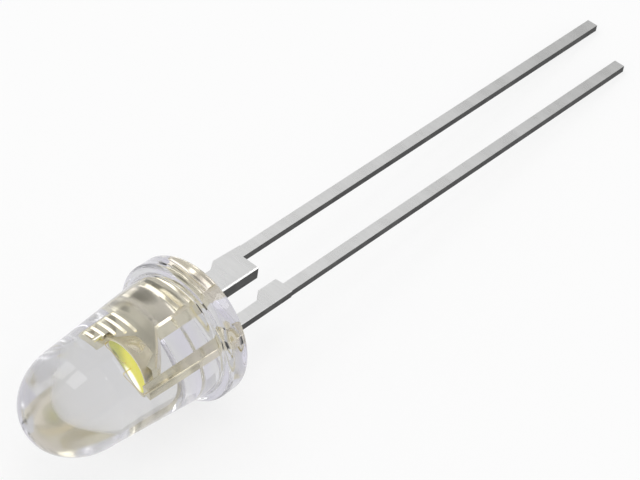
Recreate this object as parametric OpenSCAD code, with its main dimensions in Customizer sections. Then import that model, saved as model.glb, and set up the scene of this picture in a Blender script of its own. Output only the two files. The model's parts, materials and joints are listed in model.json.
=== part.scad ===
// Water-clear round LED with a flange, two flat leads and a phosphor-filled cup.
// It is drawn upright, flange seat at z = 0 with the dome up and the leads down,
// and then laid on the floor as it comes to rest, on its flange's rim and the tips
// of both leads: dome to -Y, leads to +Y.

/* [Lens] */
// How far the flange stands out from the barrel
flange_rim = 0.4; // [0.3:0.05:0.6]
// Thickness of the flange
flange_h = 1.0; // [0.8:0.1:1.5]
// Rounding of the flange's two edges
flange_round = 0.22; // [0.1:0.02:0.3]
// Radius of the barrel where it leaves the flange
barrel_r = 2.5; // [2.3:0.05:2.7]
// How much narrower the barrel is where the dome begins
barrel_taper = 0.39; // [0.1:0.01:0.5]
// Height of the dome's tip above the flange seat
lens_h = 8.36; // [7.8:0.1:9.4]
// Height of the dome by itself
dome_h = 2.56; // [2:0.05:3]
// Rounding in the corner between flange and barrel, where the flange leaves room for it
root_round = 0.17; // [0.05:0.01:0.2]

/* [Leads] */
// Distance between the centres of the two leads
lead_pitch = 2.54; // [2.4:0.02:2.7]
// Width of a lead beyond its shoulder
lead_w = 0.5; // [0.4:0.01:0.55]
// Thickness of the thin gauge, which makes the leads
lead_t = 0.3; // [0.24:0.01:0.34]
// Thickness of the thick gauge, which makes the cup's plate
plate_t = 0.54; // [0.5:0.02:0.64]
// Height of the leads' upper face above the lens axis
lead_top = 0.36; // [0.3:0.02:0.4]
// Free length of the long lead, which carries the cup
long_lead = 26.6; // [24:0.2:29]
// Free length of the short lead, which carries the bond post
short_lead = 25.2; // [22:0.2:27]
// Distance of the shoulders below the flange seat
shoulder_z = 3.8; // [3:0.1:5]

/* [Cup lead] */
// Side of the plate that faces the post, left of the lens axis
plate_inner = 0.2; // [0.15:0.01:0.3]
// How far the plate's tab stands out past the lead's outer side
tab_proud = 0.1; // [0.05:0.01:0.2]
// Width of the plate's neck at the flange
neck_w = 1.14; // [1:0.02:1.2]
// Distance below the flange seat where the neck widens into the tab
neck_z = 2.3; // [1.8:0.1:2.6]
// How far the tab's outer corner reaches past the shoulder
tab_heel = 0.38; // [0.2:0.02:0.5]
// Width of the plate between the flange and its ribbed wing
belly_w = 1.26; // [1.15:0.01:1.4]
// Height above the flange seat where the plate reaches that width
wing_foot_z = 0.5; // [0.4:0.05:0.8]
// Height above the flange seat where it narrows to the wing
belly_z = 2.45; // [2.2:0.05:2.5]
// Width of the ribbed wing
wing_w = 0.97; // [0.9:0.01:1.05]
// Height of the wing's top above the cup's rim
wing_rise = 0.5; // [0.4:0.05:0.6]
// Depth below the cup's foot where the plate starts to spread and carry the cup
spread_drop = 0.9; // [0.7:0.05:1.1]
// Number of ribs coined across the wing
rib_count = 5; // [3:1:5]
// Bare strip of the wing above the highest rib
rib_top = 0.07; // [0.06:0.01:0.1]
// Distance from rib to rib
rib_pitch = 0.35; // [0.3:0.01:0.36]
// Width of a rib
rib_w = 0.12; // [0.08:0.01:0.14]
// Height of a rib
rib_h = 0.05; // [0.03:0.01:0.06]

/* [Cup] */
// Height of the cup's rim above the flange seat
cup_z = 3.87; // [3.8:0.01:3.95]
// Thickness of the cup's wall at its rim
cup_wall = 0.1; // [0.08:0.01:0.14]
// Outer radius of the cup's foot
cup_foot_r = 0.5; // [0.46:0.01:0.6]
// Outer depth of the cup, rim to foot
cup_h = 0.87; // [0.8:0.01:0.95]
// Depth of the cavity
cavity_h = 0.42; // [0.38:0.01:0.5]
// Radius of the cavity at the rim
cavity_r = 0.68; // [0.62:0.01:0.7]
// Radius of the cavity's floor
floor_r = 0.38; // [0.36:0.01:0.44]
// Crown of the phosphor fill above the rim
crown_h = 0.05; // [0.03:0.01:0.06]

/* [Post] */
// Width of the short lead between the flange and its tab
stub_w = 0.56; // [0.5:0.02:0.6]
// Gap between the cup's rim and the bond post
post_gap = 0.26; // [0.2:0.01:0.32]
// How far the tab stands in towards the other lead
post_tab = 0.36; // [0.3:0.02:0.4]
// Length of the tab along the lead
tab_l = 0.95; // [0.8:0.05:1.1]
// Height of the post's top above the cup's rim
post_rise = 0.33; // [0.25:0.01:0.4]

/* [Chip and wires] */
// Side of the square chip
chip_w = 0.34; // [0.3:0.01:0.36]
// Thickness of the chip
chip_h = 0.12; // [0.1:0.01:0.14]
// Thickness of the glue under the chip
glue_h = 0.03; // [0.02:0.005:0.04]
// How far the glue's edge stands out from the chip
glue_edge = 0.02; // [0.01:0.005:0.03]
// Radius of a bond wire
wire_r = 0.0125; // [0.01:0.0025:0.02]
// Distance of a bond pad from the chip's edge
pad_inset = 0.07; // [0.05:0.01:0.09]
// Straight rise of a wire above its higher end before it bends over
bend_rise = 0.06; // [0.04:0.01:0.1]
// Radius of a wire's two bends
bend_r = 0.1; // [0.06:0.01:0.14]

/* [Hidden] */

ROUND = 96; // facets of a full turn
ARC = 6; // steps of an edge rounding
DOME_ARC = 28; // steps of the dome's quarter arc
EPS = 0.01; // overlap that joins two solids of one piece

tab_slope = 0.45; // length of the slope that leads in to a tab
step = 0.03; // small step where a tab ends on the lead
corner = 0.25; // height of the slopes where a strip widens
wing_corner = 0.06; // cut of the wing's free corner
rib_edge = 0.04; // bare edge of the wing beside the ribs
lead_x = lead_pitch / 2;
lead_in = lead_x - lead_w / 2;
lead_out = lead_x + lead_w / 2;
flange_r = barrel_r + flange_rim;
dome_r = barrel_r - barrel_taper;
dome_z = lens_h - dome_h;
cup_r = cavity_r + cup_wall;
cup_foot_z = cup_z - cup_h;
cup_floor_z = cup_z - cavity_h;
wing_z = cup_z + wing_rise;
spread_z = cup_foot_z - spread_drop;
post_in = cup_r + post_gap;
post_z = cup_z + post_rise;
post_mid = [(post_in + lead_out) / 2, lead_top - lead_t / 2];
chip_top_z = cup_floor_z + glue_h + chip_h;
pad_x = chip_w / 2 - pad_inset;
rim_mid = cup_r - cup_wall / 2;
root_r = min(root_round, flange_rim - flange_round);

// The resting pose: the flange's rounded rim and both leads' tips touch the floor.
// lean is the sideways slope for each unit of slope along the axis, and dip is the
// sine of the axis's slope, which settles in a few turns.
rim_r = flange_r - flange_round;
lead_bottom = lead_top - lead_t;
lean = (long_lead - short_lead) / lead_pitch;
low_x = lean < 0 ? lead_out : lead_in;
function settle(dip, turns) = turns == 0 ? dip : settle((rim_r * cos(asin(dip))
    + flange_round + lead_bottom * sqrt(1 - dip * dip * (1 + lean * lean)))
    / (long_lead + flange_round - low_x * lean), turns - 1);
dip = settle(0, 8);
tilt = asin(dip);
roll = asin(lean * dip / cos(tilt));
rest_z = rim_r * cos(tilt) + flange_round * (1 - dip);
front_y = dome_z * cos(tilt) + norm([dome_h * cos(tilt), dome_r * dip]);
back_y = max(long_lead, short_lead) * cos(tilt)
    + (lead_top * cos(roll) + lead_out * abs(sin(roll))) * dip;

// Points of a round edge about [x, z], from angle a to angle b
function edge(x, z, r, a, b) =
    [for (i = [0:ARC]) let (t = a + (b - a) * i / ARC) [x + r * cos(t), z + r * sin(t)]];

// Half outline of the lens: seat, rounded flange, tapering barrel and long dome
function lens_outline() = concat(
    [[0, 0]],
    edge(rim_r, flange_round, flange_round, -90, 0),
    edge(rim_r, flange_h - flange_round, flange_round, 0, 90),
    edge(barrel_r + root_r, flange_h + root_r, root_r, 270, 180),
    [for (i = [0:DOME_ARC - 1]) let (t = 90 * i / DOME_ARC)
        [dome_r * cos(t), dome_z + dome_h * sin(t)]],
    [[0, lens_h]]);

// A flat piece of lead frame whose upper face is the leads' upper face
module stamped(points, thickness) {
    translate([0, lead_top, 0]) rotate([90, 0, 0])
        linear_extrude(height = thickness) polygon(points);
}

// Tapering round space of the cavity with the fill's crown over it
module cavity() {
    translate([0, 0, cup_floor_z])
        cylinder(h = cavity_h, r1 = floor_r, r2 = cavity_r, $fn = ROUND);
    translate([0, 0, cup_z - EPS])
        cylinder(h = crown_h + EPS, r1 = cavity_r - EPS, r2 = floor_r, $fn = ROUND);
}

// A quarter turn of wire about [x, z], from angle start on towards the left
module wire_bend(x, z, start) {
    translate([x, 0, z]) rotate([90, -start, 0])
        rotate_extrude(angle = 90, $fn = ROUND)
            translate([bend_r, 0]) circle(r = wire_r, $fn = 24);
}

// A round wire that rises at x1 from z1, runs level and comes down at x2 to z2
module wire(x1, y1, z1, x2, y2, z2) {
    span = norm([x2 - x1, y2 - y1]);
    bend_z = max(z1, z2) + bend_rise;
    translate([x1, y1, 0]) rotate([0, 0, atan2(y2 - y1, x2 - x1)]) {
        translate([0, 0, z1]) cylinder(h = bend_z - z1, r = wire_r, $fn = 24);
        wire_bend(bend_r, bend_z, 90);
        translate([bend_r, 0, bend_z + bend_r]) rotate([0, 90, 0])
            cylinder(h = span - 2 * bend_r, r = wire_r, $fn = 24);
        wire_bend(span - bend_r, bend_z, 0);
        translate([span, 0, z2]) cylinder(h = bend_z - z2, r = wire_r, $fn = 24);
    }
}

module post_wire_form() {
    wire(pad_x, 0, chip_top_z, post_mid[0], post_mid[1], post_z);
}

module cup_wire_form() {
    wire(-pad_x, 0, chip_top_z, -rim_mid, 0, cup_z);
}

// Thin gauge lead of the cup's side, from the shoulder to the tip
function long_lead_points() = [
    [-lead_out, -shoulder_z], [-lead_in, -shoulder_z],
    [-lead_in, -long_lead], [-lead_out, -long_lead]];

// Thick gauge plate: tab outside, neck through the flange, wing and cup stem inside
function plate_points() = let (
    tab_out = -lead_out - tab_proud, neck_out = -plate_inner - neck_w,
    belly_out = -plate_inner - belly_w, wing_out = -plate_inner - wing_w)
    [[-plate_inner, -shoulder_z], [-plate_inner, spread_z],
    [cup_r, cup_foot_z + corner], [cup_r, cup_foot_z + 2 * corner],
    [0, cup_z - corner], [-cup_r, cup_z - corner], [-cup_r, wing_z],
    [wing_out + wing_corner, wing_z], [wing_out, wing_z - wing_corner],
    [wing_out, belly_z + corner], [belly_out, belly_z], [belly_out, wing_foot_z],
    [neck_out, wing_foot_z - corner], [neck_out, -neck_z],
    [tab_out, -neck_z - tab_slope], [-lead_out - step, -shoulder_z - tab_heel],
    [-lead_out, -shoulder_z - tab_heel], [-lead_out, -shoulder_z]];

// The short lead with its tab, and the bond post, in one strip
function post_points() = let (
    tab_foot = shoulder_z + step, tab_head = tab_foot - tab_l,
    stub_in = lead_out + step - stub_w)
    [[post_in, post_z], [post_in, wing_foot_z], [stub_in, wing_foot_z - corner],
    [stub_in, tab_slope - tab_head], [stub_in - post_tab, -tab_head],
    [stub_in - post_tab, -tab_foot], [lead_in, -tab_foot - step],
    [lead_in, -short_lead], [lead_out, -short_lead], [lead_out, -tab_foot],
    [lead_out + step, -tab_foot + step], [lead_out + step, wing_foot_z - corner],
    [lead_out, wing_foot_z], [lead_out, post_z]];

// Foot of the i-th rib, counted down from the wing's top
function rib_z(i) = wing_z - rib_top - rib_w - i * rib_pitch;

// Length of the i-th rib, which ends where the cup's widening side begins
function rib_l(i) = let (side = cup_foot_r
    + (cup_r - cup_foot_r) * (rib_z(i) - cup_foot_z) / cup_h)
    wing_w + plate_inner - rib_edge - max(plate_inner, side);

module lead_frame_cup() {
    difference() {
        union() {
            stamped(long_lead_points(), lead_t);
            stamped(plate_points(), plate_t);
            translate([0, 0, cup_foot_z])
                cylinder(h = cup_h, r1 = cup_foot_r, r2 = cup_r, $fn = ROUND);
            for (i = [0:rib_count - 1])
                translate([-plate_inner - wing_w + rib_edge, lead_top - EPS, rib_z(i)])
                    cube([rib_l(i), rib_h + EPS, rib_w]);
        }
        cavity();
    }
}

module lead_frame_post() {
    stamped(post_points(), lead_t);
}

module chip_form() {
    translate([-chip_w / 2, -chip_w / 2, cup_floor_z + glue_h]) cube([chip_w, chip_w, chip_h]);
}

module glue_form() {
    side = chip_w + 2 * glue_edge;
    translate([-side / 2, -side / 2, cup_floor_z]) cube([side, side, glue_h]);
}

// Lays what was drawn upright on the floor, in the middle of its own box
module laid() {
    translate([0, (front_y - back_y) / 2, rest_z]) rotate([90 - tilt, 0, 0])
        rotate([0, 0, -roll]) children();
}

module lens_body() {
    color([0.86, 0.88, 0.92, 0.35]) laid() difference() {
        rotate_extrude($fn = ROUND) polygon(lens_outline());
        lead_frame_cup();
        lead_frame_post();
        cavity();
        post_wire_form();
        cup_wire_form();
    }
}

module cup_lead() {
    color([0.8, 0.79, 0.75]) laid() lead_frame_cup();
}

module post_lead() {
    color([0.8, 0.79, 0.75]) laid() lead_frame_post();
}

module phosphor_fill() {
    color([0.9, 0.9, 0.35]) laid() difference() {
        cavity();
        chip_form();
        glue_form();
        post_wire_form();
        cup_wire_form();
    }
}

module chip() {
    color([0.45, 0.6, 0.75]) laid() chip_form();
}

module die_attach() {
    color([0.75, 0.75, 0.72]) laid() glue_form();
}

module post_wire() {
    color([0.95, 0.8, 0.4]) laid() post_wire_form();
}

module cup_wire() {
    color([0.95, 0.8, 0.4]) laid() cup_wire_form();
}

lens_body();
cup_lead();
post_lead();
phosphor_fill();
chip();
die_attach();
post_wire();
cup_wire();
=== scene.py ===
"""Water-clear round LED with a flange, lying on a pale studio floor."""

import json
import logging
import math
from dataclasses import dataclass
from enum import Enum

import bmesh
import bpy
from mathutils import Matrix, Vector


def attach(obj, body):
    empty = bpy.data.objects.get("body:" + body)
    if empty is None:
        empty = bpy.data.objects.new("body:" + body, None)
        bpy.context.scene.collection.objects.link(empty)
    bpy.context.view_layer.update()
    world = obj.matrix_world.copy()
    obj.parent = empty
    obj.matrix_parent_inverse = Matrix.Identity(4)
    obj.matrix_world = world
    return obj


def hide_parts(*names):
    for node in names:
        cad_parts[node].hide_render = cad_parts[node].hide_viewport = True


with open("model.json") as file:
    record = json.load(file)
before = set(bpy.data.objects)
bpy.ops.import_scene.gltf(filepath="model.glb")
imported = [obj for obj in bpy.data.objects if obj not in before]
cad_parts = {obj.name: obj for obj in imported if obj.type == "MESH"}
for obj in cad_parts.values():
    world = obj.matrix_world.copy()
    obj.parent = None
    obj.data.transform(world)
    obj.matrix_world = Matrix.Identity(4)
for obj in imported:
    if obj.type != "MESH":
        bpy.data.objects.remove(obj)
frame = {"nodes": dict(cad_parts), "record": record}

LOG = logging.getLogger("led")
MM = 0.001
BODY = "root"
MERGE = 0.0005 * MM  # vertices nearer than this are one
BOUNCES = 24  # light is reflected many times inside the flange and the dome

Colour = tuple[float, float, float]
Span = tuple[float, float]
Socket = bpy.types.NodeSocket
Node = bpy.types.Node
Tree = bpy.types.NodeTree
Piece = bpy.types.Object
Feed = Socket | float | Colour

DUST: Colour = (0.5, 0.5, 0.48)
DUST_ROUGH = 0.5  # roughness that dust at full strength adds


# ---------------- the LED's own axes


@dataclass(frozen=True)
class LedAxes:
    """The LED's own axes: across to the post, normal out of the leads, dome up.

    Attributes:
        seat: Centre of the flange's seat, in metres.
        across: Unit vector from the cup's lead to the post's lead.
        normal: Unit vector out of the leads' upper faces.
        dome: Unit vector from the seat to the dome's tip.
    """

    seat: Vector
    across: Vector
    normal: Vector
    dome: Vector

    @classmethod
    def from_record(cls, record: dict, flange_h: float) -> "LedAxes":
        """Reads the axes from the two mounts.

        Args:
            record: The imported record.
            flange_h: Thickness of the flange, in metres.

        Returns:
            The axes, with the seat half a flange below the rim's mount.
        """
        mounts = {mount["name"]: mount for mount in record["mounts"]}
        rim, pair = mounts["flange_rim"], mounts["lead_pair"]
        dome = Vector(rim["axis"]).normalized()
        seat = Vector(rim["pos_m"]) - dome * flange_h / 2
        offset = Vector(pair["pos_m"]) - seat
        normal = (offset - dome * offset.dot(dome)).normalized()
        return cls(seat, normal.cross(dome), normal, dome)

    def matrix(self) -> Matrix:
        """Returns the matrix from upright coordinates to the shared frame."""
        turn = Matrix((self.across, self.normal, self.dome)).transposed()
        return Matrix.Translation(self.seat) @ turn.to_4x4()

    def point(self, across: float, normal: float, dome: float) -> Vector:
        """Returns the shared frame's point for distances towards the post, upwards and domewards."""
        return self.seat + self.across * across + self.normal * normal + self.dome * dome


# ---------------- modelling helpers


def deselect() -> None:
    """Leaves edit mode and deselects every object."""
    if bpy.context.object and bpy.context.object.mode != "OBJECT":
        bpy.ops.object.mode_set(mode="OBJECT")
    bpy.ops.object.select_all(action="DESELECT")


def activate(obj: Piece) -> None:
    """Makes one object the only selected and the active one.

    Args:
        obj: The object to work on.
    """
    deselect()
    obj.select_set(True)
    bpy.context.view_layer.objects.active = obj


def enter_edit(obj: Piece, mode: str = "FACE") -> bmesh.types.BMesh:
    """Opens an object in edit mode with nothing selected.

    Args:
        obj: The object to edit.
        mode: Select mode, VERT, EDGE or FACE.

    Returns:
        The edit mesh.
    """
    activate(obj)
    bpy.ops.object.mode_set(mode="EDIT")
    bpy.ops.mesh.select_mode(type=mode)
    bpy.ops.mesh.select_all(action="DESELECT")
    return bmesh.from_edit_mesh(obj.data)


def close_edit(obj: Piece, merge: float) -> None:
    """Merges doubles, turns the normals outwards and leaves edit mode.

    Args:
        obj: The object in edit mode.
        merge: Distance under which vertices are merged, in metres.
    """
    bpy.ops.mesh.select_all(action="SELECT")
    bpy.ops.mesh.remove_doubles(threshold=merge)
    bpy.ops.mesh.normals_make_consistent(inside=False)
    bpy.ops.object.mode_set(mode="OBJECT")
    obj.data.update()


def dress(obj: Piece, material: bpy.types.Material) -> None:
    """Gives an object one material in all its slots.

    Args:
        obj: The object to dress.
        material: The finish.
    """
    if not obj.material_slots:
        obj.data.materials.append(material)
    for slot in obj.material_slots:
        slot.material = material


# ---------------- node helpers


class NodeBench:
    """Places and links the nodes of one tree."""

    def __init__(self, tree: Tree) -> None:
        """Starts on a tree.

        Args:
            tree: The node tree to fill.
        """
        self.tree = tree
        self.column = 0

    def node(self, kind: str, feeds: dict[str | int, Feed] | None = None, **settings: object
             ) -> Node:
        """Adds a node.

        Args:
            kind: The node's type name.
            feeds: What goes into its inputs, by name or number.
            **settings: Attributes set on the node.

        Returns:
            The node.
        """
        node = self.tree.nodes.new(kind)
        node.location = (self.column, 0)
        self.column += 180
        for key, value in settings.items():
            setattr(node, key, value)
        for key, value in (feeds or {}).items():
            self.wire(value, node.inputs[key])
        return node

    def wire(self, source: Feed, target: Socket) -> None:
        """Links a socket to an input, or sets the input's value.

        Args:
            source: An output socket, a number or a colour.
            target: The input socket.
        """
        if isinstance(source, bpy.types.NodeSocket):
            self.tree.links.new(source, target)
        elif isinstance(source, tuple) and target.type == "RGBA":
            target.default_value = (*source, 1.0)
        else:
            target.default_value = source

    def maths(self, operation: str, *values: Socket | float, clamp: bool = False) -> Socket:
        """Returns the result of a Math node."""
        feeds = dict(enumerate(values))
        return self.node("ShaderNodeMath", feeds, operation=operation, use_clamp=clamp).outputs[0]

    def product(self, *factors: Socket | float) -> Socket:
        """Multiplies values, from the first to the last.

        Args:
            *factors: Two or more values.

        Returns:
            Their product.
        """
        result = factors[0]
        for factor in factors[1:]:
            result = self.maths("MULTIPLY", result, factor)
        return result

    def span(self, value: Socket, low: float, high: float, out_low: float = 0.0,
             out_high: float = 1.0) -> Socket:
        """Maps a value smoothly from low..high to out_low..out_high, and holds it beyond them."""
        feeds = dict(enumerate((value, low, high, out_low, out_high)))
        return self.node("ShaderNodeMapRange", feeds, interpolation_type="SMOOTHSTEP").outputs[0]

    def blot(self, x: Socket, y: Socket, centre: tuple[float, float],
             half: tuple[float, float], ragged: Socket | float = 0.0) -> Socket:
        """Draws a soft round patch.

        Args:
            x: First coordinate.
            y: Second coordinate.
            centre: The patch's centre.
            half: Half its size in x and in y.
            ragged: Noise about 0 that makes its edge ragged.

        Returns:
            The mask, 1 in the middle and 0 outside.
        """
        far = ragged
        for value, middle, reach in zip((x, y), centre, half):
            step = self.maths("DIVIDE", self.maths("SUBTRACT", value, middle), reach)
            far = self.maths("MULTIPLY_ADD", step, step, far)
        return self.span(far, 1.0, 0.0)

    def mix(self, factor: Socket | float, a: Socket | Colour, b: Socket | Colour,
            blend: str = "MIX") -> Socket:
        """Returns colour a mixed with a share of colour b."""
        feeds = {0: factor, 6: a, 7: b}
        return self.node("ShaderNodeMix", feeds, data_type="RGBA", blend_type=blend).outputs[2]

    def noise(self, position: Socket, scale: Socket | float, detail: float = 3.0,
              roughness: float = 0.5) -> Socket:
        """Returns a noise pattern about 0.5, with scale waves in a metre and detail octaves."""
        feeds = {"Vector": position, "Scale": scale, "Detail": detail, "Roughness": roughness}
        return self.node("ShaderNodeTexNoise", feeds).outputs[0]

    def vector(self, x: Socket, y: Socket, z: Socket) -> Socket:
        """Returns the vector with these coordinates."""
        return self.node("ShaderNodeCombineXYZ", {0: x, 1: y, 2: z}).outputs[0]

    def object_point(self) -> Socket:
        """Returns the point in object coordinates, which are the shared frame's."""
        return self.node("ShaderNodeTexCoord").outputs["Object"]

    def from_seat(self, axes: LedAxes) -> Socket:
        """Returns the point measured from the seat's centre."""
        feeds = {0: self.object_point(), 1: tuple(axes.seat)}
        return self.node("ShaderNodeVectorMath", feeds, operation="SUBTRACT").outputs[0]

    def dot(self, a: Socket, b: Vector) -> Socket:
        """Returns the dot product of a vector socket and a fixed vector."""
        feeds = {0: a, 1: tuple(b)}
        return self.node("ShaderNodeVectorMath", feeds, operation="DOT_PRODUCT").outputs["Value"]

    def bump(self, height: Socket, strength: float, distance: float) -> Socket:
        """Returns the normal, bumped by a relief of 0 to 1 that is distance metres high."""
        feeds = {"Strength": strength, "Distance": distance, "Height": height}
        return self.node("ShaderNodeBump", feeds).outputs[0]


def handling_marks() -> Tree:
    """Builds the group of faint dust and smears that every finish shares.

    Returns:
        A group that tints a colour and roughens it in soft patches.
    """
    name = "handling_marks"
    if name in bpy.data.node_groups:
        return bpy.data.node_groups[name]
    group = bpy.data.node_groups.new(name, "ShaderNodeTree")
    for way, keys in (("INPUT", ("Color", "Roughness", "Amount", "Scale")),
                      ("OUTPUT", ("Color", "Roughness"))):
        for key in keys:
            kind = "NodeSocketColor" if key == "Color" else "NodeSocketFloat"
            group.interface.new_socket(name=key, in_out=way, socket_type=kind)
    entry, leave = (group.nodes.new(kind) for kind in ("NodeGroupInput", "NodeGroupOutput"))
    bench = NodeBench(group)
    patches = bench.noise(bench.object_point(), entry.outputs["Scale"], 4.0)
    mask = bench.product(bench.span(patches, 0.42, 0.68), entry.outputs["Amount"])
    bench.wire(bench.mix(mask, entry.outputs["Color"], DUST), leave.inputs["Color"])
    rough = bench.maths("MULTIPLY_ADD", mask, DUST_ROUGH, entry.outputs["Roughness"], clamp=True)
    bench.wire(rough, leave.inputs["Roughness"])
    return group


@dataclass(frozen=True)
class Finish:
    """A finish: a named material with its own nodes.

    Attributes:
        name: The material's name.
    """

    name: str

    def start(self) -> tuple[bpy.types.Material, NodeBench, Node]:
        """Makes the empty material.

        Returns:
            The material, its node bench and its Principled shader.
        """
        material = bpy.data.materials.new(self.name)
        material.use_nodes = True
        bench = NodeBench(material.node_tree)
        shader = material.node_tree.nodes["Principled BSDF"]
        shader.location = (2600, 300)
        material.node_tree.nodes["Material Output"].location = (2900, 300)
        return material, bench, shader

    def marks(self, bench: NodeBench, shader: Node, colour: Socket | Colour,
              roughness: Socket | float, amount: float, scale: float) -> Node:
        """Places the shared group of dust and smears before the shader.

        Args:
            bench: The material's bench.
            shader: The shader that takes the marked colour and roughness.
            colour: Colour before the marks.
            roughness: Roughness before the marks.
            amount: Strength of the marks.
            scale: Waves in a metre.

        Returns:
            The group's node.
        """
        node = bench.node("ShaderNodeGroup", node_tree=handling_marks())
        for key, value in (("Color", colour), ("Roughness", roughness), ("Amount", amount),
                           ("Scale", scale)):
            bench.wire(value, node.inputs[key])
        bench.wire(node.outputs["Color"], shader.inputs["Base Color"])
        bench.wire(node.outputs["Roughness"], shader.inputs["Roughness"])
        return node


@dataclass(frozen=True)
class ShadePatch:
    """A soft dark patch on the silver, a painted dark reflection.

    Attributes:
        across: Its centre's distance towards the post.
        height: Its centre's height above the seat.
        half_across: Half its size across the plate.
        half_height: Half its size along the plate.
        depth: How dark it is in the middle.
    """

    across: float
    height: float
    half_across: float
    half_height: float
    depth: float


@dataclass(frozen=True)
class TinnedLead(Finish):
    """Stamped strip: satin tin outside the lens, silver inside, with painted shade, highlights and
    reflections.

    Attributes:
        axes: The LED's axes, which the finish follows.
        lead_top: Height of the upper faces above the lens axis.
        tin: Colour of the tin near the lens.
        tin_shaded: Colour of the tin at the leads' tips, a painted shade darker than the tin near
            the lens.
        silver: Colour of the silver plating inside the lens.
        silver_shade: Colour of the painted shade and painted dark reflections on the silver.
        painted_highlight: Painted highlight colour on the coined ribs and rounded edges inside the
            lens.
        side_shade: Colour of the sides outside the lens: a near-black painted shade.
        shade_patches: Patches of painted dark reflection on the plate.
        plated: Heights over which the tin gives way to silver.
        shade_to_tips: Heights over which painted shade makes the tin darker towards the tips.
        cup: Heights over which the cup's outside, with painted shade and added roughness, begins.
        cup_side: Distances from the axis over which the wing ends and the cup begins.
        ridge_top: Heights over which the coined ridges end.
        near_wing: Distances across over which a ridge's dome side turns to painted shade.
        near_post: Distances across over which its other side loses its painted shade towards the
            post.
        sloped: Slopes over which a ridge's side begins.
        raised: Rises over the upper faces at which ribs and ridges begin.
        streak_stretch: Squeeze of the noise along the strip, as rolling leaves it.
        cloud_squeeze: Stretch of the clouds across the strip.
        cup_shade: How dark the painted shade on the cup's outside is.
        satin: Roughness of the tin.
        polished: Roughness of the silver.
        cup_rough: Roughness that drawing adds to the cup.
        edge_rough: Roughness that the rounded edges add.
        sheared_rough: Roughness that the cut sides add.
    """

    name: str = "tinned_lead"
    axes: LedAxes | None = None
    lead_top: float = 0.36 * MM
    tin: Colour = (0.97, 0.97, 0.965)
    tin_shaded: Colour = (0.83, 0.83, 0.82)
    silver: Colour = (0.9, 0.85, 0.67)
    silver_shade: Colour = (0.3, 0.28, 0.2)
    painted_highlight: Colour = (1.0, 0.93, 0.7)
    side_shade: Colour = (0.085, 0.085, 0.085)
    shade_patches: tuple[ShadePatch, ...] = (
        ShadePatch(-1.12 * MM, 1.42 * MM, 0.42 * MM, 0.4 * MM, 0.95),
        ShadePatch(-1.22 * MM, 2.35 * MM, 0.34 * MM, 0.24 * MM, 0.75),
        ShadePatch(-0.6 * MM, 0.58 * MM, 0.42 * MM, 0.17 * MM, 0.9))
    plated: Span = (-0.3 * MM, -0.1 * MM)
    shade_to_tips: Span = (-12.0 * MM, -28.0 * MM)
    cup: Span = (2.7 * MM, 3.1 * MM)
    cup_side: Span = (-0.77 * MM, -0.76 * MM)
    ridge_top: Span = (1.2 * MM, 1.1 * MM)
    near_wing: Span = (-0.82 * MM, -0.66 * MM)
    near_post: Span = (-0.86 * MM, -1.0 * MM)
    sloped: Span = (0.03, 0.1)
    raised: Span = (0.004 * MM, 0.02 * MM)
    streak_stretch: float = 9.0
    cloud_squeeze: float = 0.45
    cup_shade: float = 0.82
    satin: Span = (0.25, 0.31)
    polished: Span = (0.07, 0.2)
    cup_rough: float = 0.32
    edge_rough: float = 0.05
    sheared_rough: float = 0.3

    def painted_patches(self, bench: NodeBench, across: Socket, height: Socket, clouds: Socket) -> Socket:
        """Draws the painted dark reflections on the silver: faint clouds and patches with clouded
        edges.

        Args:
            bench: The material's bench.
            across: Distance towards the post.
            height: Height above the seat.
            clouds: Noise that breaks up the patches' edges.

        Returns:
            The mask, 1 where the silver is darkest.
        """
        mask = bench.span(clouds, 0.5, 0.75, 0.0, 0.35)
        ragged = bench.span(clouds, 0.3, 0.7, -0.6, 0.4)
        for stain in self.shade_patches:
            spot = bench.blot(across, height, (stain.across, stain.height),
                              (stain.half_across, stain.half_height), ragged)
            mask = bench.maths("MAXIMUM", mask, bench.product(spot, stain.depth))
        return mask

    def build(self) -> bpy.types.Material:
        """Returns the material."""
        material, bench, shader = self.start()
        local = bench.from_seat(self.axes)
        across = bench.dot(local, self.axes.across)
        height = bench.dot(local, self.axes.dome)
        level = bench.dot(local, self.axes.normal)
        inside = bench.span(height, *self.plated)
        geometry = bench.node("ShaderNodeNewGeometry")
        upward = bench.dot(geometry.outputs["Normal"], self.axes.normal)
        facing = bench.maths("ABSOLUTE", upward)
        flat = bench.span(facing, 0.35, 0.75)
        # Rolled streaks run along the strip.
        stretch = bench.vector(across, level, bench.product(height, self.streak_stretch))
        streaks = bench.noise(stretch, 1100.0, 5.0, 0.6)
        # Painted shade: the tin turns darker towards the leads' tips.
        shade_to_tips = bench.span(height, *self.shade_to_tips)
        tin = bench.mix(shade_to_tips, self.tin, self.tin_shaded)
        tin = bench.mix(1.0, tin, bench.span(streaks, 0.3, 0.7, 0.97, 1.02), "MULTIPLY")
        # Plated silver: soft clouds and patches of painted dark reflection, and painted highlights
        # on ribs and edges.
        drawn = bench.vector(bench.product(across, self.cloud_squeeze), level, height)
        clouds = bench.noise(drawn, 1300.0, 2.0, 0.4)
        # Painted shade on the cup's outside, which is also made rougher.
        shaded_matte_cup = bench.product(
            bench.span(facing, 0.97, 0.85), bench.span(height, *self.cup),
            bench.span(upward, -0.1, 0.2), bench.span(across, *self.cup_side))
        darkened = bench.maths("MAXIMUM", self.painted_patches(bench, across, height, clouds),
                                bench.product(shaded_matte_cup, self.cup_shade))
        silver = bench.mix(darkened, self.silver, self.silver_shade)
        ribs = bench.span(level, *(self.lead_top + rise for rise in self.raised))
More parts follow.
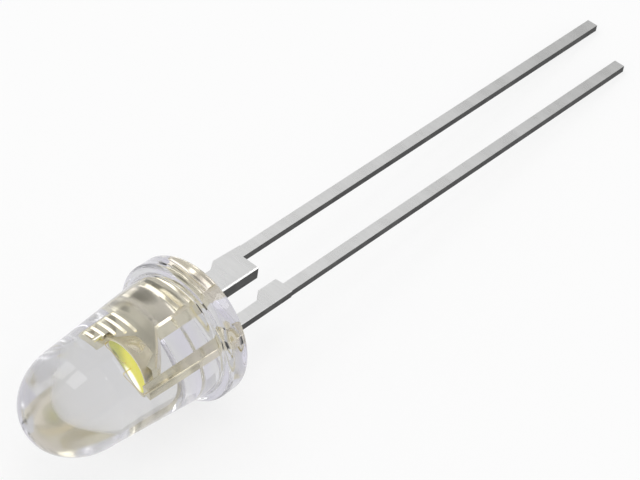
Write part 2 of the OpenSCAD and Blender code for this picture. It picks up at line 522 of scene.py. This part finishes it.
        # A ridge keeps its painted highlight on its dome side near the wing and its other side near
        # the post; elsewhere its sides get painted shade.
        slope = bench.dot(geometry.outputs["Normal"], self.axes.dome)
        low, high = self.sloped
        ridge_shade = bench.maths(
            "MAXIMUM",
            bench.product(bench.span(slope, low, high), bench.span(across, *self.near_wing)),
            bench.product(bench.span(slope, -low, -high), bench.span(across, *self.near_post)))
        ridges = bench.product(ribs, bench.span(height, *self.ridge_top))
        ridge_shade = bench.product(ridge_shade, ridges)
        silver = bench.mix(ridge_shade, silver, self.silver_shade)
        ribs = bench.maths("SUBTRACT", ribs, ridge_shade)
        # Painted highlight: inside the lens, ribs and rounded edges take a brighter colour.
        edges = bench.product(bench.span(facing, 0.985, 0.93), bench.span(facing, 0.12, 0.4))
        bright = bench.product(bench.maths("MAXIMUM", ribs, edges), inside)
        metal = bench.mix(inside, tin, bench.mix(bright, silver, self.painted_highlight))
        # Painted shade: outside the lens, faces that turn sideways are painted near-black.
        shown = bench.maths("MAXIMUM", flat, inside)
        colour = bench.mix(shown, self.side_shade, metal)
        satin = bench.span(clouds, 0.3, 0.7, *self.satin)
        polished = bench.span(clouds, 0.35, 0.7, *self.polished)
        for place, added in ((shaded_matte_cup, self.cup_rough), (edges, self.edge_rough)):
            polished = bench.maths("MULTIPLY_ADD", place, added, polished)
        outside, cut = (bench.maths("SUBTRACT", 1.0, share) for share in (inside, shown))
        rough = bench.maths("ADD", bench.product(inside, polished), bench.product(outside, satin))
        rough = bench.maths("MULTIPLY_ADD", cut, self.sheared_rough, rough)
        self.marks(bench, shader, colour, rough, 0.08, 1400.0)
        bench.wire(bench.bump(streaks, 0.06, 0.004 * MM), shader.inputs["Normal"])
        shader.inputs["Metallic"].default_value = 1.0
        return material


@dataclass(frozen=True)
class ClearEpoxy(Finish):
    """Cast water-clear epoxy with faint flow lines and a violet cast at the flange.

    Attributes:
        axes: The LED's axes, which the cast follows.
        tint: Colour of light that has passed through.
        rim_tint: The same where the surface turns away.
        flange_tint: The same in patches of the flange.
        ior: Refractive index.
        polish: Roughness of the polished surface.
        scuff: Roughness that the scuffs add.
        flange: Heights over which the cast of the flange begins.
        underside: Levels over which the scuffs begin.
        dome: Heights over which the scuffs begin.
        flow_under: Strength of the flow lines on the underside.
        flow_seat: Strength of the flow lines in the seat.
    """

    name: str = "clear_epoxy"
    axes: LedAxes | None = None
    tint: Colour = (0.7, 0.7, 0.715)
    rim_tint: Colour = (0.6, 0.595, 0.64)
    flange_tint: Colour = (0.67, 0.65, 0.77)
    ior: float = 1.53
    polish: float = 0.012
    scuff: float = 0.08
    flange: Span = (1.1 * MM, 0.5 * MM)
    underside: Span = (-0.9 * MM, -1.7 * MM)
    dome: Span = (4.0 * MM, 5.2 * MM)
    flow_under: float = 40.0
    flow_seat: float = 12.0

    def build(self) -> bpy.types.Material:
        """Returns the material."""
        material, bench, shader = self.start()
        local = bench.from_seat(self.axes)
        height = bench.dot(local, self.axes.dome)
        patches = bench.span(bench.noise(local, 380.0, 2.0), 0.36, 0.56)
        cast = bench.product(patches, bench.span(height, *self.flange))
        facing = bench.node("ShaderNodeLayerWeight")
        turned = bench.span(facing.outputs["Facing"], 0.45, 0.95)
        colour = bench.mix(cast, self.tint, self.flange_tint)
        colour = bench.mix(turned, colour, self.rim_tint)
        level = bench.dot(local, self.axes.normal)
        # The dome is scuffed where it slides over the bench.
        scuffed = bench.product(bench.span(level, *self.underside),
                                bench.span(height, *self.dome))
        polish = bench.maths("MULTIPLY_ADD", scuffed, self.scuff, self.polish)
        self.marks(bench, shader, colour, polish, 0.03, 700.0)
        # The mould's flow lines lie stronger on the underside and in the seat.
        under = bench.span(level, 0.5 * MM, -1.5 * MM, 1.0, self.flow_under)
        seat = bench.span(height, 0.12 * MM, 0.03 * MM, 0.0, self.flow_seat)
        flow = bench.product(bench.noise(local, 420.0, 1.0, 0.4), bench.maths("ADD", under, seat))
        bench.wire(bench.bump(flow, 0.1, 0.01 * MM), shader.inputs["Normal"])
        shader.inputs["Transmission Weight"].default_value = 1.0
        shader.inputs["IOR"].default_value = self.ior
        return material


@dataclass(frozen=True)
class PhosphorGel(Finish):
    """Yellow phosphor grains in a clear gel, olive towards the cup's lead, with a painted highlight
    and glow.

    Attributes:
        axes: The LED's axes, which the settling follows.
        olive_side: Darker olive colour towards the cup's lead.
        grain: Colour of the grains over most of the fill.
        hot_spot_tint: Colour of the pale hot spot, a painted highlight.
        dark_patch: Colour of a dark patch towards the cup's lead.
        glow: Strength of the painted glow, an emission that lights the fill though it is no lamp, at
            the hot spot.
        glow_elsewhere: Share of that glow away from the hot spot.
    """

    name: str = "phosphor_gel"
    axes: LedAxes | None = None
    olive_side: Colour = (0.54, 0.56, 0.13)
    grain: Colour = (0.98, 0.92, 0.14)
    hot_spot_tint: Colour = (1.0, 1.0, 1.0)
    dark_patch: Colour = (0.15, 0.17, 0.03)
    glow: float = 1.12
    glow_elsewhere: float = 0.39

    def build(self) -> bpy.types.Material:
        """Returns the material."""
        material, bench, shader = self.start()
        local = bench.from_seat(self.axes)
        across = bench.dot(local, self.axes.across)
        normal = bench.dot(local, self.axes.normal)
        grains = bench.noise(bench.object_point(), 30000.0, 2.0)
        # Darker olive towards the cup's lead, and a dark patch there.
        grain_share = bench.span(across, -0.4 * MM, 0.1 * MM)
        colour = bench.mix(grain_share, self.olive_side, self.grain)
        # Painted highlight: a pale hot spot, where the painted glow is strongest.
        hot_spot = bench.blot(across, normal, (0.02 * MM, -0.46 * MM), (0.38 * MM, 0.4 * MM))
        colour = bench.mix(hot_spot, colour, self.hot_spot_tint)
        dark_spot = bench.blot(across, normal, (-0.5 * MM, -0.26 * MM), (0.17 * MM, 0.3 * MM))
        colour = bench.mix(dark_spot, colour, self.dark_patch)
        colour = bench.mix(bench.span(grains, 0.4, 0.7, 0.0, 0.3), colour, self.grain)
        marks = self.marks(bench, shader, colour, 0.35, 0.02, 5000.0)
        # Painted glow: emission that brightens the fill though it is no lamp.
        lit = bench.mix(hot_spot, (self.glow_elsewhere,) * 3, (1.0, 1.0, 1.0))
        bench.wire(bench.mix(1.0, marks.outputs["Color"], lit, "MULTIPLY"),
                   shader.inputs["Emission Color"])
        bench.wire(bench.bump(grains, 0.3, 0.006 * MM), shader.inputs["Normal"])
        shader.inputs["Emission Strength"].default_value = self.glow
        return material


@dataclass(frozen=True)
class PlainMetal(Finish):
    """A small bright metal part, such as a bond wire.

    Attributes:
        colour: Colour of the metal.
        worn: Colour of its duller patches.
        roughness: Roughness of the surface.
    """

    name: str = "gold_wire"
    colour: Colour = (1.0, 0.86, 0.55)
    worn: Colour = (0.92, 0.74, 0.42)
    roughness: float = 0.2

    def build(self) -> bpy.types.Material:
        """Returns the material."""
        material, bench, shader = self.start()
        clouds = bench.noise(bench.object_point(), 12000.0, 3.0)
        colour = bench.mix(bench.span(clouds, 0.4, 0.7), self.colour, self.worn)
        self.marks(bench, shader, colour, self.roughness, 0.05, 6000.0)
        shader.inputs["Metallic"].default_value = 1.0
        return material


@dataclass(frozen=True)
class ChipCrystal(Finish):
    """Sawn crystal chip with a finely ground surface.

    Attributes:
        face: Colour of the chip's faces.
        street: Colour of its sawn streaks.
    """

    name: str = "chip_crystal"
    face: Colour = (0.45, 0.58, 0.7)
    street: Colour = (0.25, 0.33, 0.45)

    def build(self) -> bpy.types.Material:
        """Returns the material."""
        material, bench, shader = self.start()
        saw = bench.noise(bench.object_point(), 20000.0, 4.0, 0.7)
        colour = bench.mix(bench.span(saw, 0.4, 0.65), self.face, self.street)
        self.marks(bench, shader, colour, 0.15, 0.04, 9000.0)
        bench.wire(bench.bump(saw, 0.2, 0.002 * MM), shader.inputs["Normal"])
        shader.inputs["Coat Weight"].default_value = 0.3
        return material


# ---------------- the lens


@dataclass
class LensShell:
    """The cast lens: flange, tapering barrel and long dome, as one closed shell.

    Attributes:
        flange_r: Radius of the flange.
        flange_h: Thickness of the flange.
        flange_round: Rounding of the flange's edges.
        barrel_r: Radius of the barrel at the flange.
        dome_r: Radius of the barrel where the dome begins.
        dome_z: Height of the dome's beginning.
        lens_h: Height of the dome's tip.
        root_round: Rounding between flange and barrel.
        dish: Depth to which the cast seat sinks in its middle.
        climb: How far the epoxy climbs along a lead.
        climb_reach: Distance over which the climb fades.
        calm_share: Share of the flange's radius beyond which the seat stays calm.
        leads: Each lead's section in the seat: least and greatest x, least and greatest y.
        seat_steps: Steps from the seat's middle to its rim.
        barrel_steps: Steps of the barrel's height.
        turns: Steps of the full turn.
        arc: Steps of an edge rounding.
        dome_steps: Steps of the dome's quarter arc.
    """

    flange_r: float = 2.9 * MM
    flange_h: float = 1.0 * MM
    flange_round: float = 0.22 * MM
    barrel_r: float = 2.5 * MM
    dome_r: float = 2.11 * MM
    dome_z: float = 5.8 * MM
    lens_h: float = 8.36 * MM
    root_round: float = 0.17 * MM
    dish: float = 0.02 * MM
    climb: float = 0.42 * MM
    climb_reach: float = 0.34 * MM
    calm_share: float = 0.9
    leads: tuple[tuple[float, float, float, float], ...] = (
        (-1.34 * MM, -0.2 * MM, -0.18 * MM, 0.36 * MM),
        (0.99 * MM, 1.55 * MM, 0.06 * MM, 0.36 * MM))
    seat_steps: int = 40
    barrel_steps: int = 6
    turns: int = 256
    arc: int = 10
    dome_steps: int = 72

    def edge(self, x: float, z: float, radius: float, start: float, stop: float
             ) -> list[tuple[float, float]]:
        """Returns the points of a rounding about x and z, between two angles in degrees."""
        angles = [math.radians(start + (stop - start) * i / self.arc)
                  for i in range(self.arc + 1)]
        return [(x + radius * math.cos(a), z + radius * math.sin(a)) for a in angles]

    def outline(self) -> list[tuple[float, float]]:
        """Returns the half outline from the seat's middle to the dome's tip."""
        rim, fillet, root = self.flange_r - self.flange_round, self.flange_round, self.root_round
        points = []
        for i in range(self.seat_steps):
            share = i / self.seat_steps
            points.append((rim * share, self.dish * (1 - share ** 4)))
        points += self.edge(rim, fillet, fillet, -90, 0)
        points += self.edge(rim, self.flange_h - fillet, fillet, 0, 90)
        points += self.edge(self.barrel_r + root, self.flange_h + root, root, 270, 180)
        foot = self.flange_h + root
        for i in range(1, self.barrel_steps):
            share = i / self.barrel_steps
            points.append((self.barrel_r + (self.dome_r - self.barrel_r) * share,
                           foot + (self.dome_z - foot) * share))
        dome_h = self.lens_h - self.dome_z
        for i in range(self.dome_steps):
            angle = math.pi / 2 * i / self.dome_steps
            points.append((self.dome_r * math.cos(angle), self.dome_z + dome_h * math.sin(angle)))
        points.append((0.0, self.lens_h))
        return points

    def raise_menisci(self, lens: Piece) -> None:
        """Draws the seat out along the leads, as the liquid epoxy climbed them.

        Args:
            lens: The upright shell.
        """
        for vert in lens.data.vertices:
            x, y, z = vert.co
            if z > self.dish + self.root_round or math.hypot(x, y) > self.flange_r * self.calm_share:
                continue
            for low_x, high_x, low_y, high_y in self.leads:
                gap = math.hypot(max(low_x - x, x - high_x, 0.0), max(low_y - y, y - high_y, 0.0))
                vert.co.z -= self.climb * math.exp(-gap / self.climb_reach)
        lens.data.update()

    def build(self, axes: LedAxes) -> Piece:
        """Models the shell and puts it in its place.

        Args:
            axes: The LED's axes.

        Returns:
            The lens.
        """
        outline = self.outline()
        deselect()
        bpy.ops.mesh.primitive_plane_add(size=self.flange_r, location=(0, 0, 0))
        lens = bpy.context.object
        lens.name = lens.data.name = "lens_shell"
        mesh = enter_edit(lens, "VERT")
        mesh.verts.ensure_lookup_table()
        for vert in mesh.verts[1:]:
            vert.select_set(True)
        bpy.ops.mesh.delete(type="VERT")
        mesh = bmesh.from_edit_mesh(lens.data)
        mesh.verts.ensure_lookup_table()
        start = mesh.verts[0]
        start.co = Vector((outline[0][0], 0, outline[0][1]))
        start.select_set(True)
        for (x1, z1), (x2, z2) in zip(outline, outline[1:]):
            bpy.ops.mesh.extrude_region_move(
                TRANSFORM_OT_translate={"value": (x2 - x1, 0, z2 - z1)})
        bpy.ops.mesh.select_all(action="SELECT")
        bpy.ops.mesh.spin(steps=self.turns, angle=2 * math.pi, center=(0, 0, 0), axis=(0, 0, 1))
        close_edit(lens, MERGE)
        self.raise_menisci(lens)
        activate(lens)
        bpy.ops.object.shade_smooth_by_angle(angle=math.radians(40))
        lens.matrix_world = axes.matrix()
        bpy.ops.object.transform_apply(location=True, rotation=True, scale=True)
        return lens


# ---------------- the lead frame


@dataclass(frozen=True)
class CoinedRidge:
    """A low ridge across the plate, left by the coining, which falls away to both sides.

    Attributes:
        left: Its end away from the post.
        right: Its end towards the post.
        crest: Height of its crest above the seat.
        rise: Height of the crest above the plate.
        sink: Depth of its foot in the plate.
        dome_slope: Slope of its side towards the dome.
        lead_slope: Slope of its side towards the leads.
        crest_w: Width of the flat crest.
    """

    left: float
    right: float
    crest: float
    rise: float = 0.05 * MM
    sink: float = 0.01 * MM
    dome_slope: float = 0.3
    lead_slope: float = 0.18
    crest_w: float = 0.02 * MM


@dataclass
class StampedStrip:
    """A stamped strip of the lead frame, with its long upper edges rounded or chamfered.

    Attributes:
        node: CAD node that gives the strip's shape.
        axes: The LED's axes.
        ridges: Ridges across the strip.
        lead_top: Height of the upper faces above the lens axis.
        rib_fall: How far the ribs' tops fall towards the dome.
        long_round: Rounding of the long upper edges.
        chamfer_w: Width of the chamfer along the edges that face the post.
        chamfer_fall: How far that chamfer falls.
        shortest: Length below which an edge is left sharp.
        tab_foot: Height at which the rounded edges end, just below the shoulders.
        post_side: Distance across beyond which the plate's edges face the post.
        plate_foot: Height above which those edges belong to the plate.
        merge: Distance under which the copied mesh's vertices are merged.
        flat_angle: Faces within this angle are one face, in degrees.
        edge_round: Rounding tried on the other stamped edges; close corners hold it below a micron.
        edge_angle: Edges sharper than this angle are rounded so and shaded sharp, in degrees.
        square_angle: Least angle between the upper face and a cut side, in degrees.
        rolled_up: Least share of a rolled face's normal that points up or down.
        square_tilt: Greatest share that points the wrong way on a square face.
        cut_out: Least share of a cut side's normal that points straight out.
        chamfer_up: Shares between which a chamfer's normal points up.
    """

    node: str
    axes: LedAxes
    ridges: tuple[CoinedRidge, ...] = ()
    lead_top: float = 0.36 * MM
    rib_fall: float = 0.035 * MM
    long_round: float = 0.06 * MM
    chamfer_w: float = 0.07 * MM
    chamfer_fall: float = 0.033 * MM
    shortest: float = 0.3 * MM
    tab_foot: float = -4.0 * MM
    post_side: float = -0.21 * MM
    plate_foot: float = 0.4 * MM
    merge: float = 0.0002 * MM
    flat_angle: float = 0.6
    edge_round: float = 0.02 * MM
    edge_angle: float = 32.0
    square_angle: float = 60.0
    rolled_up: float = 0.9
    square_tilt: float = 0.02
    cut_out: float = 0.999
    chamfer_up: Span = (0.88, 0.93)

    def upright(self, point: Vector) -> Vector:
        """Returns a point of the shared frame as across, normal and dome distances."""
        offset = point - self.axes.seat
        return Vector((offset.dot(self.axes.across), offset.dot(self.axes.normal),
                       offset.dot(self.axes.dome)))

    def coin_ridge(self, strip: Piece, ridge: CoinedRidge) -> None:
        """Joins one ridge to the strip.

        Args:
            strip: The strip.
            ridge: The ridge.
        """
        depth = ridge.rise + ridge.sink
        deselect()
        bpy.ops.mesh.primitive_cube_add(size=1.0, location=(0, 0, 0))
        prism = bpy.context.object
        for vert in prism.data.vertices:
            x, y, z = vert.co
            reach = ridge.crest_w / 2
            if y < 0:
                reach += depth / (ridge.dome_slope if z > 0 else ridge.lead_slope)
            vert.co = self.axes.point(
                (ridge.left + ridge.right) / 2 + x * (ridge.right - ridge.left),
                self.lead_top + ridge.rise - depth * (0.5 - y),
                ridge.crest + math.copysign(reach, z))
        enter_edit(prism)
        close_edit(prism, 0.0)
        union = strip.modifiers.new("coined_ridge", "BOOLEAN")
        union.operation = "UNION"
        union.solver = "EXACT"
        union.object = prism
        activate(strip)
        bpy.ops.object.modifier_apply(modifier=union.name)
        bpy.data.objects.remove(prism)

    def slope_ribs(self, strip: Piece) -> None:
        """Lets the ribs' tops fall towards the dome.

        Args:
            strip: The strip, with flat faces.
        """
        mesh = enter_edit(strip, "VERT")
        for face in mesh.faces:
            places = [self.upright(vert.co) for vert in face.verts]
            if len(places) != 4 or min(p.y for p in places) < self.lead_top + 0.8 * self.rib_fall:
                continue
            middle = sum(p.z for p in places) / 4
            for vert, place in zip(face.verts, places):
                if place.z > middle:
                    vert.co -= self.axes.normal * self.rib_fall
        bpy.ops.object.mode_set(mode="OBJECT")

    def top_ends(self, edge: bmesh.types.BMEdge) -> list[Vector]:
        """Finds the ends of a square edge of the upper face.

        Args:
            edge: An edge of the strip.

        Returns:
            Its ends in upright coordinates, or nothing for any other edge.
        """
        ends = [self.upright(vert.co) for vert in edge.verts]
        on_top = all(abs(end.y - self.lead_top) < 0.002 * MM for end in ends)
        square = (len(edge.link_faces) == 2
                  and edge.calc_face_angle(0.0) > math.radians(self.square_angle))
        return ends if on_top and square and edge.calc_length() > self.shortest else []

    def round_long_edges(self, strip: Piece) -> None:
        """Rounds the long upper edges from the shoulders to the dome.

        Args:
            strip: The strip, with flat faces.
        """
        mesh = enter_edit(strip, "EDGE")
        for edge in mesh.edges:
            ends = self.top_ends(edge)
            if (ends and abs(ends[0].z - ends[1].z) > 0.99 * edge.calc_length()
                    and min(end.z for end in ends) > self.tab_foot):
                edge.select_set(True)
        if any(edge.select for edge in mesh.edges):
            bpy.ops.mesh.bevel(offset=self.long_round, segments=4, affect="EDGES",
                               clamp_overlap=False)
        bpy.ops.object.mode_set(mode="OBJECT")

    def chamfer_inner_edges(self, strip: Piece) -> None:
        """Chamfers the plate's upper edges that face the post, at a shallow angle.

        Args:
            strip: The strip, with flat faces.
        """
        mesh = enter_edit(strip, "EDGE")
        for edge in mesh.edges:
            ends = self.top_ends(edge)
            if (ends and min(end.x for end in ends) > self.post_side
                    and max(end.z for end in ends) > self.plate_foot):
                edge.select_set(True)
        bpy.ops.mesh.bevel(offset=self.chamfer_w, segments=1, affect="EDGES",
                           clamp_overlap=False)
        mesh = bmesh.from_edit_mesh(strip.data)
        for vert in mesh.verts:
            if vert.select and self.upright(vert.co).y < self.lead_top - 0.5 * self.chamfer_w:
                vert.co += self.axes.normal * (self.chamfer_w - self.chamfer_fall)
        bpy.ops.object.mode_set(mode="OBJECT")

    def keep_flats(self, strip: Piece) -> None:
        """Shades the rolled faces, the ribs, the chamfers and the cut sides flat.

        Args:
            strip: The strip, smooth all over.
        """
        mesh = enter_edit(strip)
        for face in mesh.faces:
            across, up, along = (abs(face.normal.dot(way)) for way in (
                self.axes.across, self.axes.normal, self.axes.dome))
            rolled = up > self.rolled_up and across < self.square_tilt
            cut = up < self.square_tilt and max(across, along) > self.cut_out
            low, high = self.chamfer_up
            face.select_set(rolled or cut or low < up < high)
        bpy.ops.mesh.faces_shade_flat()
        bpy.ops.object.mode_set(mode="OBJECT")

    def build(self) -> Piece:
        """Returns the strip, copied from its CAD node, with its edges and ridges worked in."""
        source = frame["nodes"][self.node]
        strip = source.copy()
        strip.data = source.data.copy()
        strip.parent = None
        for key in list(strip.keys()):
            del strip[key]
        strip.name = strip.data.name = f"{self.node}_strip"
        strip.data.materials.clear()
        bpy.context.scene.collection.objects.link(strip)
        activate(strip)
        if strip.data.has_custom_normals:
            bpy.ops.mesh.customdata_custom_splitnormals_clear()
        enter_edit(strip, "VERT")
        bpy.ops.mesh.select_all(action="SELECT")
        bpy.ops.mesh.remove_doubles(threshold=self.merge)
        bpy.ops.mesh.dissolve_limited(angle_limit=math.radians(self.flat_angle))
        bpy.ops.object.mode_set(mode="OBJECT")
        self.slope_ribs(strip)
        if self.ridges:
            self.chamfer_inner_edges(strip)
        self.round_long_edges(strip)
        bevel = strip.modifiers.new("broken_edges", "BEVEL")
        bevel.width = self.edge_round
        bevel.segments = 3
        bevel.limit_method = "ANGLE"
        bevel.angle_limit = math.radians(self.edge_angle)
        bpy.ops.object.modifier_apply(modifier=bevel.name)
        enter_edit(strip, "VERT")
        close_edit(strip, MERGE)
        for ridge in self.ridges:
            self.coin_ridge(strip, ridge)
        bpy.ops.object.shade_smooth_by_angle(angle=math.radians(self.edge_angle))
        self.keep_flats(strip)
        return strip


# ---------------- the studio


class Ray(Enum):
    """Rays that see the pale background as it is."""

    CAMERA = "Is Camera Ray"
    GLOSSY = "Is Glossy Ray"
    TRANSMISSION = "Is Transmission Ray"


@dataclass(frozen=True)
class SoftBox:
    """A square lamp that points at the LED.

    Attributes:
        name: The lamp's name.
        stand: Its place from the point it lights, in metres.
        side: Its side, in metres.
        power: Its power, in watts.
    """

    name: str
    stand: tuple[float, float, float]
    side: float
    power: float


@dataclass
class Studio:
    """Pale floor, plain soft light and the camera.

    Attributes:
        floor_side: Side of the floor.
        floor_colour: Colour of the floor.
        shadow: Share of the floor's shadow that shows.
        azimuth: Camera's azimuth, in degrees.
        elevation: Camera's elevation, in degrees.
        roll: Camera's turn about its own axis, in degrees.
        lens_mm: Focal length for a 36 mm wide sensor.
        stand: Camera's place from the seat's centre, in metres.
        card: Direction of the grey card in the pale room.
        card_edge: Angles from the card's middle over which it darkens, in degrees.
        room_glow: Brightness of the room.
        card_glow: Brightness of the card.
        lit_height: Height above the seat of the point that the lamps light.
        lamps: The soft boxes.
    """

    floor_side: float = 2.0
    floor_colour: float = 0.92
    shadow: float = 0.25
    azimuth: float = 41.892
    elevation: float = 44.319
    roll: float = -0.273
    lens_mm: float = 147.47
    card: tuple[float, float, float] = (-0.335, 0.81, 0.48)
    stand: tuple[float, float, float] = (49.0822 * MM, -47.5699 * MM, 70.8814 * MM)
    card_edge: Span = (18.0, 3.0)
    room_glow: float = 0.95
    card_glow: float = 0.55
    lit_height: float = -6.0 * MM
    lamps: tuple[SoftBox, ...] = (
        SoftBox("key_lamp", (0.02, 0.0, 0.29), 0.13, 0.1),
        SoftBox("rim_lamp", (0.13, 0.19, 0.17), 0.08, 0.045),
        SoftBox("side_lamp", (-0.14, 0.01, 0.26), 0.13, 0.08))

    def seen_as_is(self, bench: NodeBench) -> Socket:
        """Finds the rays that see the background as it is.

        Args:
            bench: The material's bench.

        Returns:
            1 for those rays and 0 for the others.
        """
        path = bench.node("ShaderNodeLightPath")
        total = path.outputs[Ray.CAMERA.value]
        for ray in (Ray.GLOSSY, Ray.TRANSMISSION):
            total = bench.maths("MAXIMUM", total, path.outputs[ray.value])
        return total

    def build_floor(self) -> None:
        """Lays the pale floor, which keeps only part of its shadow."""
        deselect()
        bpy.ops.mesh.primitive_plane_add(size=self.floor_side, location=(0, 0, 0))
        floor = bpy.context.object
        floor.name = "floor"
        material = bpy.data.materials.new("pale_floor")
        material.use_nodes = True
        tree = material.node_tree
        tree.nodes.clear()
        bench = NodeBench(tree)
        diffuse = bench.node("ShaderNodeBsdfDiffuse", {"Color": (self.floor_colour,) * 3})
        glow = bench.node("ShaderNodeEmission", {"Color": (1.0, 1.0, 1.0)})
        seen = bench.product(self.seen_as_is(bench), 1.0 - self.shadow)
        blend = bench.node("ShaderNodeMixShader", {0: seen, 1: diffuse.outputs[0],
                                                   2: glow.outputs[0]})
        bench.node("ShaderNodeOutputMaterial", {0: blend.outputs[0]})
        dress(floor, material)

    def build_world(self) -> None:
        """Lights the scene from all round, with one grey card for the plate to mirror."""
        world = bpy.data.worlds.new("soft_room")
        bpy.context.scene.world = world
        world.use_nodes = True
        tree = world.node_tree
        tree.nodes.clear()
        bench = NodeBench(tree)
        coords = bench.node("ShaderNodeTexCoord")
        outer, inner = (math.cos(math.radians(angle)) for angle in self.card_edge)
        level = bench.span(bench.dot(coords.outputs["Generated"], Vector(self.card)),
                           outer, inner, self.room_glow, self.card_glow)
        shade = bench.node("ShaderNodeBackground", {"Strength": level})
        bench.node("ShaderNodeOutputWorld", {0: shade.outputs[0]})

    def build_lamp(self, box: SoftBox, aim: Vector) -> None:
        """Adds a soft box.

        Args:
            box: The soft box.
            aim: What it points at.
        """
        place = aim + Vector(box.stand)
        deselect()
        bpy.ops.object.light_add(type="AREA", location=place)
        lamp = bpy.context.object
        lamp.name = box.name
        lamp.data.shape = "SQUARE"
        lamp.data.size = box.side
        lamp.data.energy = box.power
        lamp.rotation_euler = (aim - place).to_track_quat("-Z", "Y").to_euler()

    def build_camera(self, axes: LedAxes) -> None:
        """Sets up the camera.

        Args:
            axes: The LED's axes.
        """
        azimuth, elevation = math.radians(self.azimuth), math.radians(self.elevation)
        back = Vector((math.sin(azimuth) * math.cos(elevation),
                       -math.cos(azimuth) * math.cos(elevation), math.sin(elevation)))
        right = Vector((math.cos(azimuth), math.sin(azimuth), 0))
        turn = Matrix((right, back.cross(right), back)).transposed()
        turn = turn @ Matrix.Rotation(math.radians(self.roll), 3, "Z")
        deselect()
        place = axes.seat + Vector(self.stand)
        bpy.ops.object.camera_add(location=place, rotation=turn.to_euler())
        camera = bpy.context.object
        camera.name = "camera"
        camera.data.lens = self.lens_mm
        camera.data.sensor_width = 36.0
        camera.data.clip_start = 0.005
        camera.data.clip_end = 20.0
        bpy.context.scene.camera = camera

    def build(self, axes: LedAxes) -> None:
        """Builds the whole studio.

        Args:
            axes: The LED's axes.
        """
        self.build_floor()
        self.build_world()
        for box in self.lamps:
            self.build_lamp(box, axes.point(0.0, 0.0, self.lit_height))
        self.build_camera(axes)
        scene = bpy.context.scene
        scene.view_settings.view_transform = "Standard"
        scene.cycles.max_bounces = BOUNCES
        scene.cycles.transmission_bounces = BOUNCES
        scene.cycles.glossy_bounces = BOUNCES


# ---------------- the object


def claim(piece: Piece, slot: str, *nodes: str) -> None:
    """Lets a piece ride on the body and stand for its CAD nodes.

    Args:
        piece: The finished piece.
        slot: The record's material slot; not used.
        *nodes: CAD nodes that it replaces.
    """
    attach(piece, BODY)
    if nodes:
        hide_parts(*nodes)
    LOG.info("%s: %d faces", piece.name, len(piece.data.polygons))


def main() -> None:
    """Builds the LED and its studio."""
    logging.basicConfig(level=logging.INFO, format="%(name)s %(message)s")
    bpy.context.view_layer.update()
    lens = LensShell()
    axes = LedAxes.from_record(frame["record"], lens.flange_h)
    shell = lens.build(axes)
    dress(shell, ClearEpoxy(axes=axes).build())
    claim(shell, "clear_epoxy", "lens_body")
    lead = TinnedLead(axes=axes).build()
    coined = {"cup_lead": (CoinedRidge(-1.38 * MM, -0.29 * MM, 0.76 * MM),
                           CoinedRidge(-1.25 * MM, -0.29 * MM, 0.2 * MM, 0.03 * MM))}
    for node in ("cup_lead", "post_lead"):
        strip = StampedStrip(node, axes, coined.get(node, ())).build()
        dress(strip, lead)
        claim(strip, "tinned_lead", node)
    gel, crystal = PhosphorGel(axes=axes).build(), ChipCrystal().build()
    glue = PlainMetal("silver_glue", (0.8, 0.8, 0.76), (0.6, 0.6, 0.58), 0.45).build()
    gold = PlainMetal().build()
    for node, finish in (("phosphor_fill", gel), ("chip", crystal), ("die_attach", glue),
                         ("post_wire", gold), ("cup_wire", gold)):
        dress(frame["nodes"][node], finish)
    Studio().build(axes)


if __name__ == "__main__":
    main()
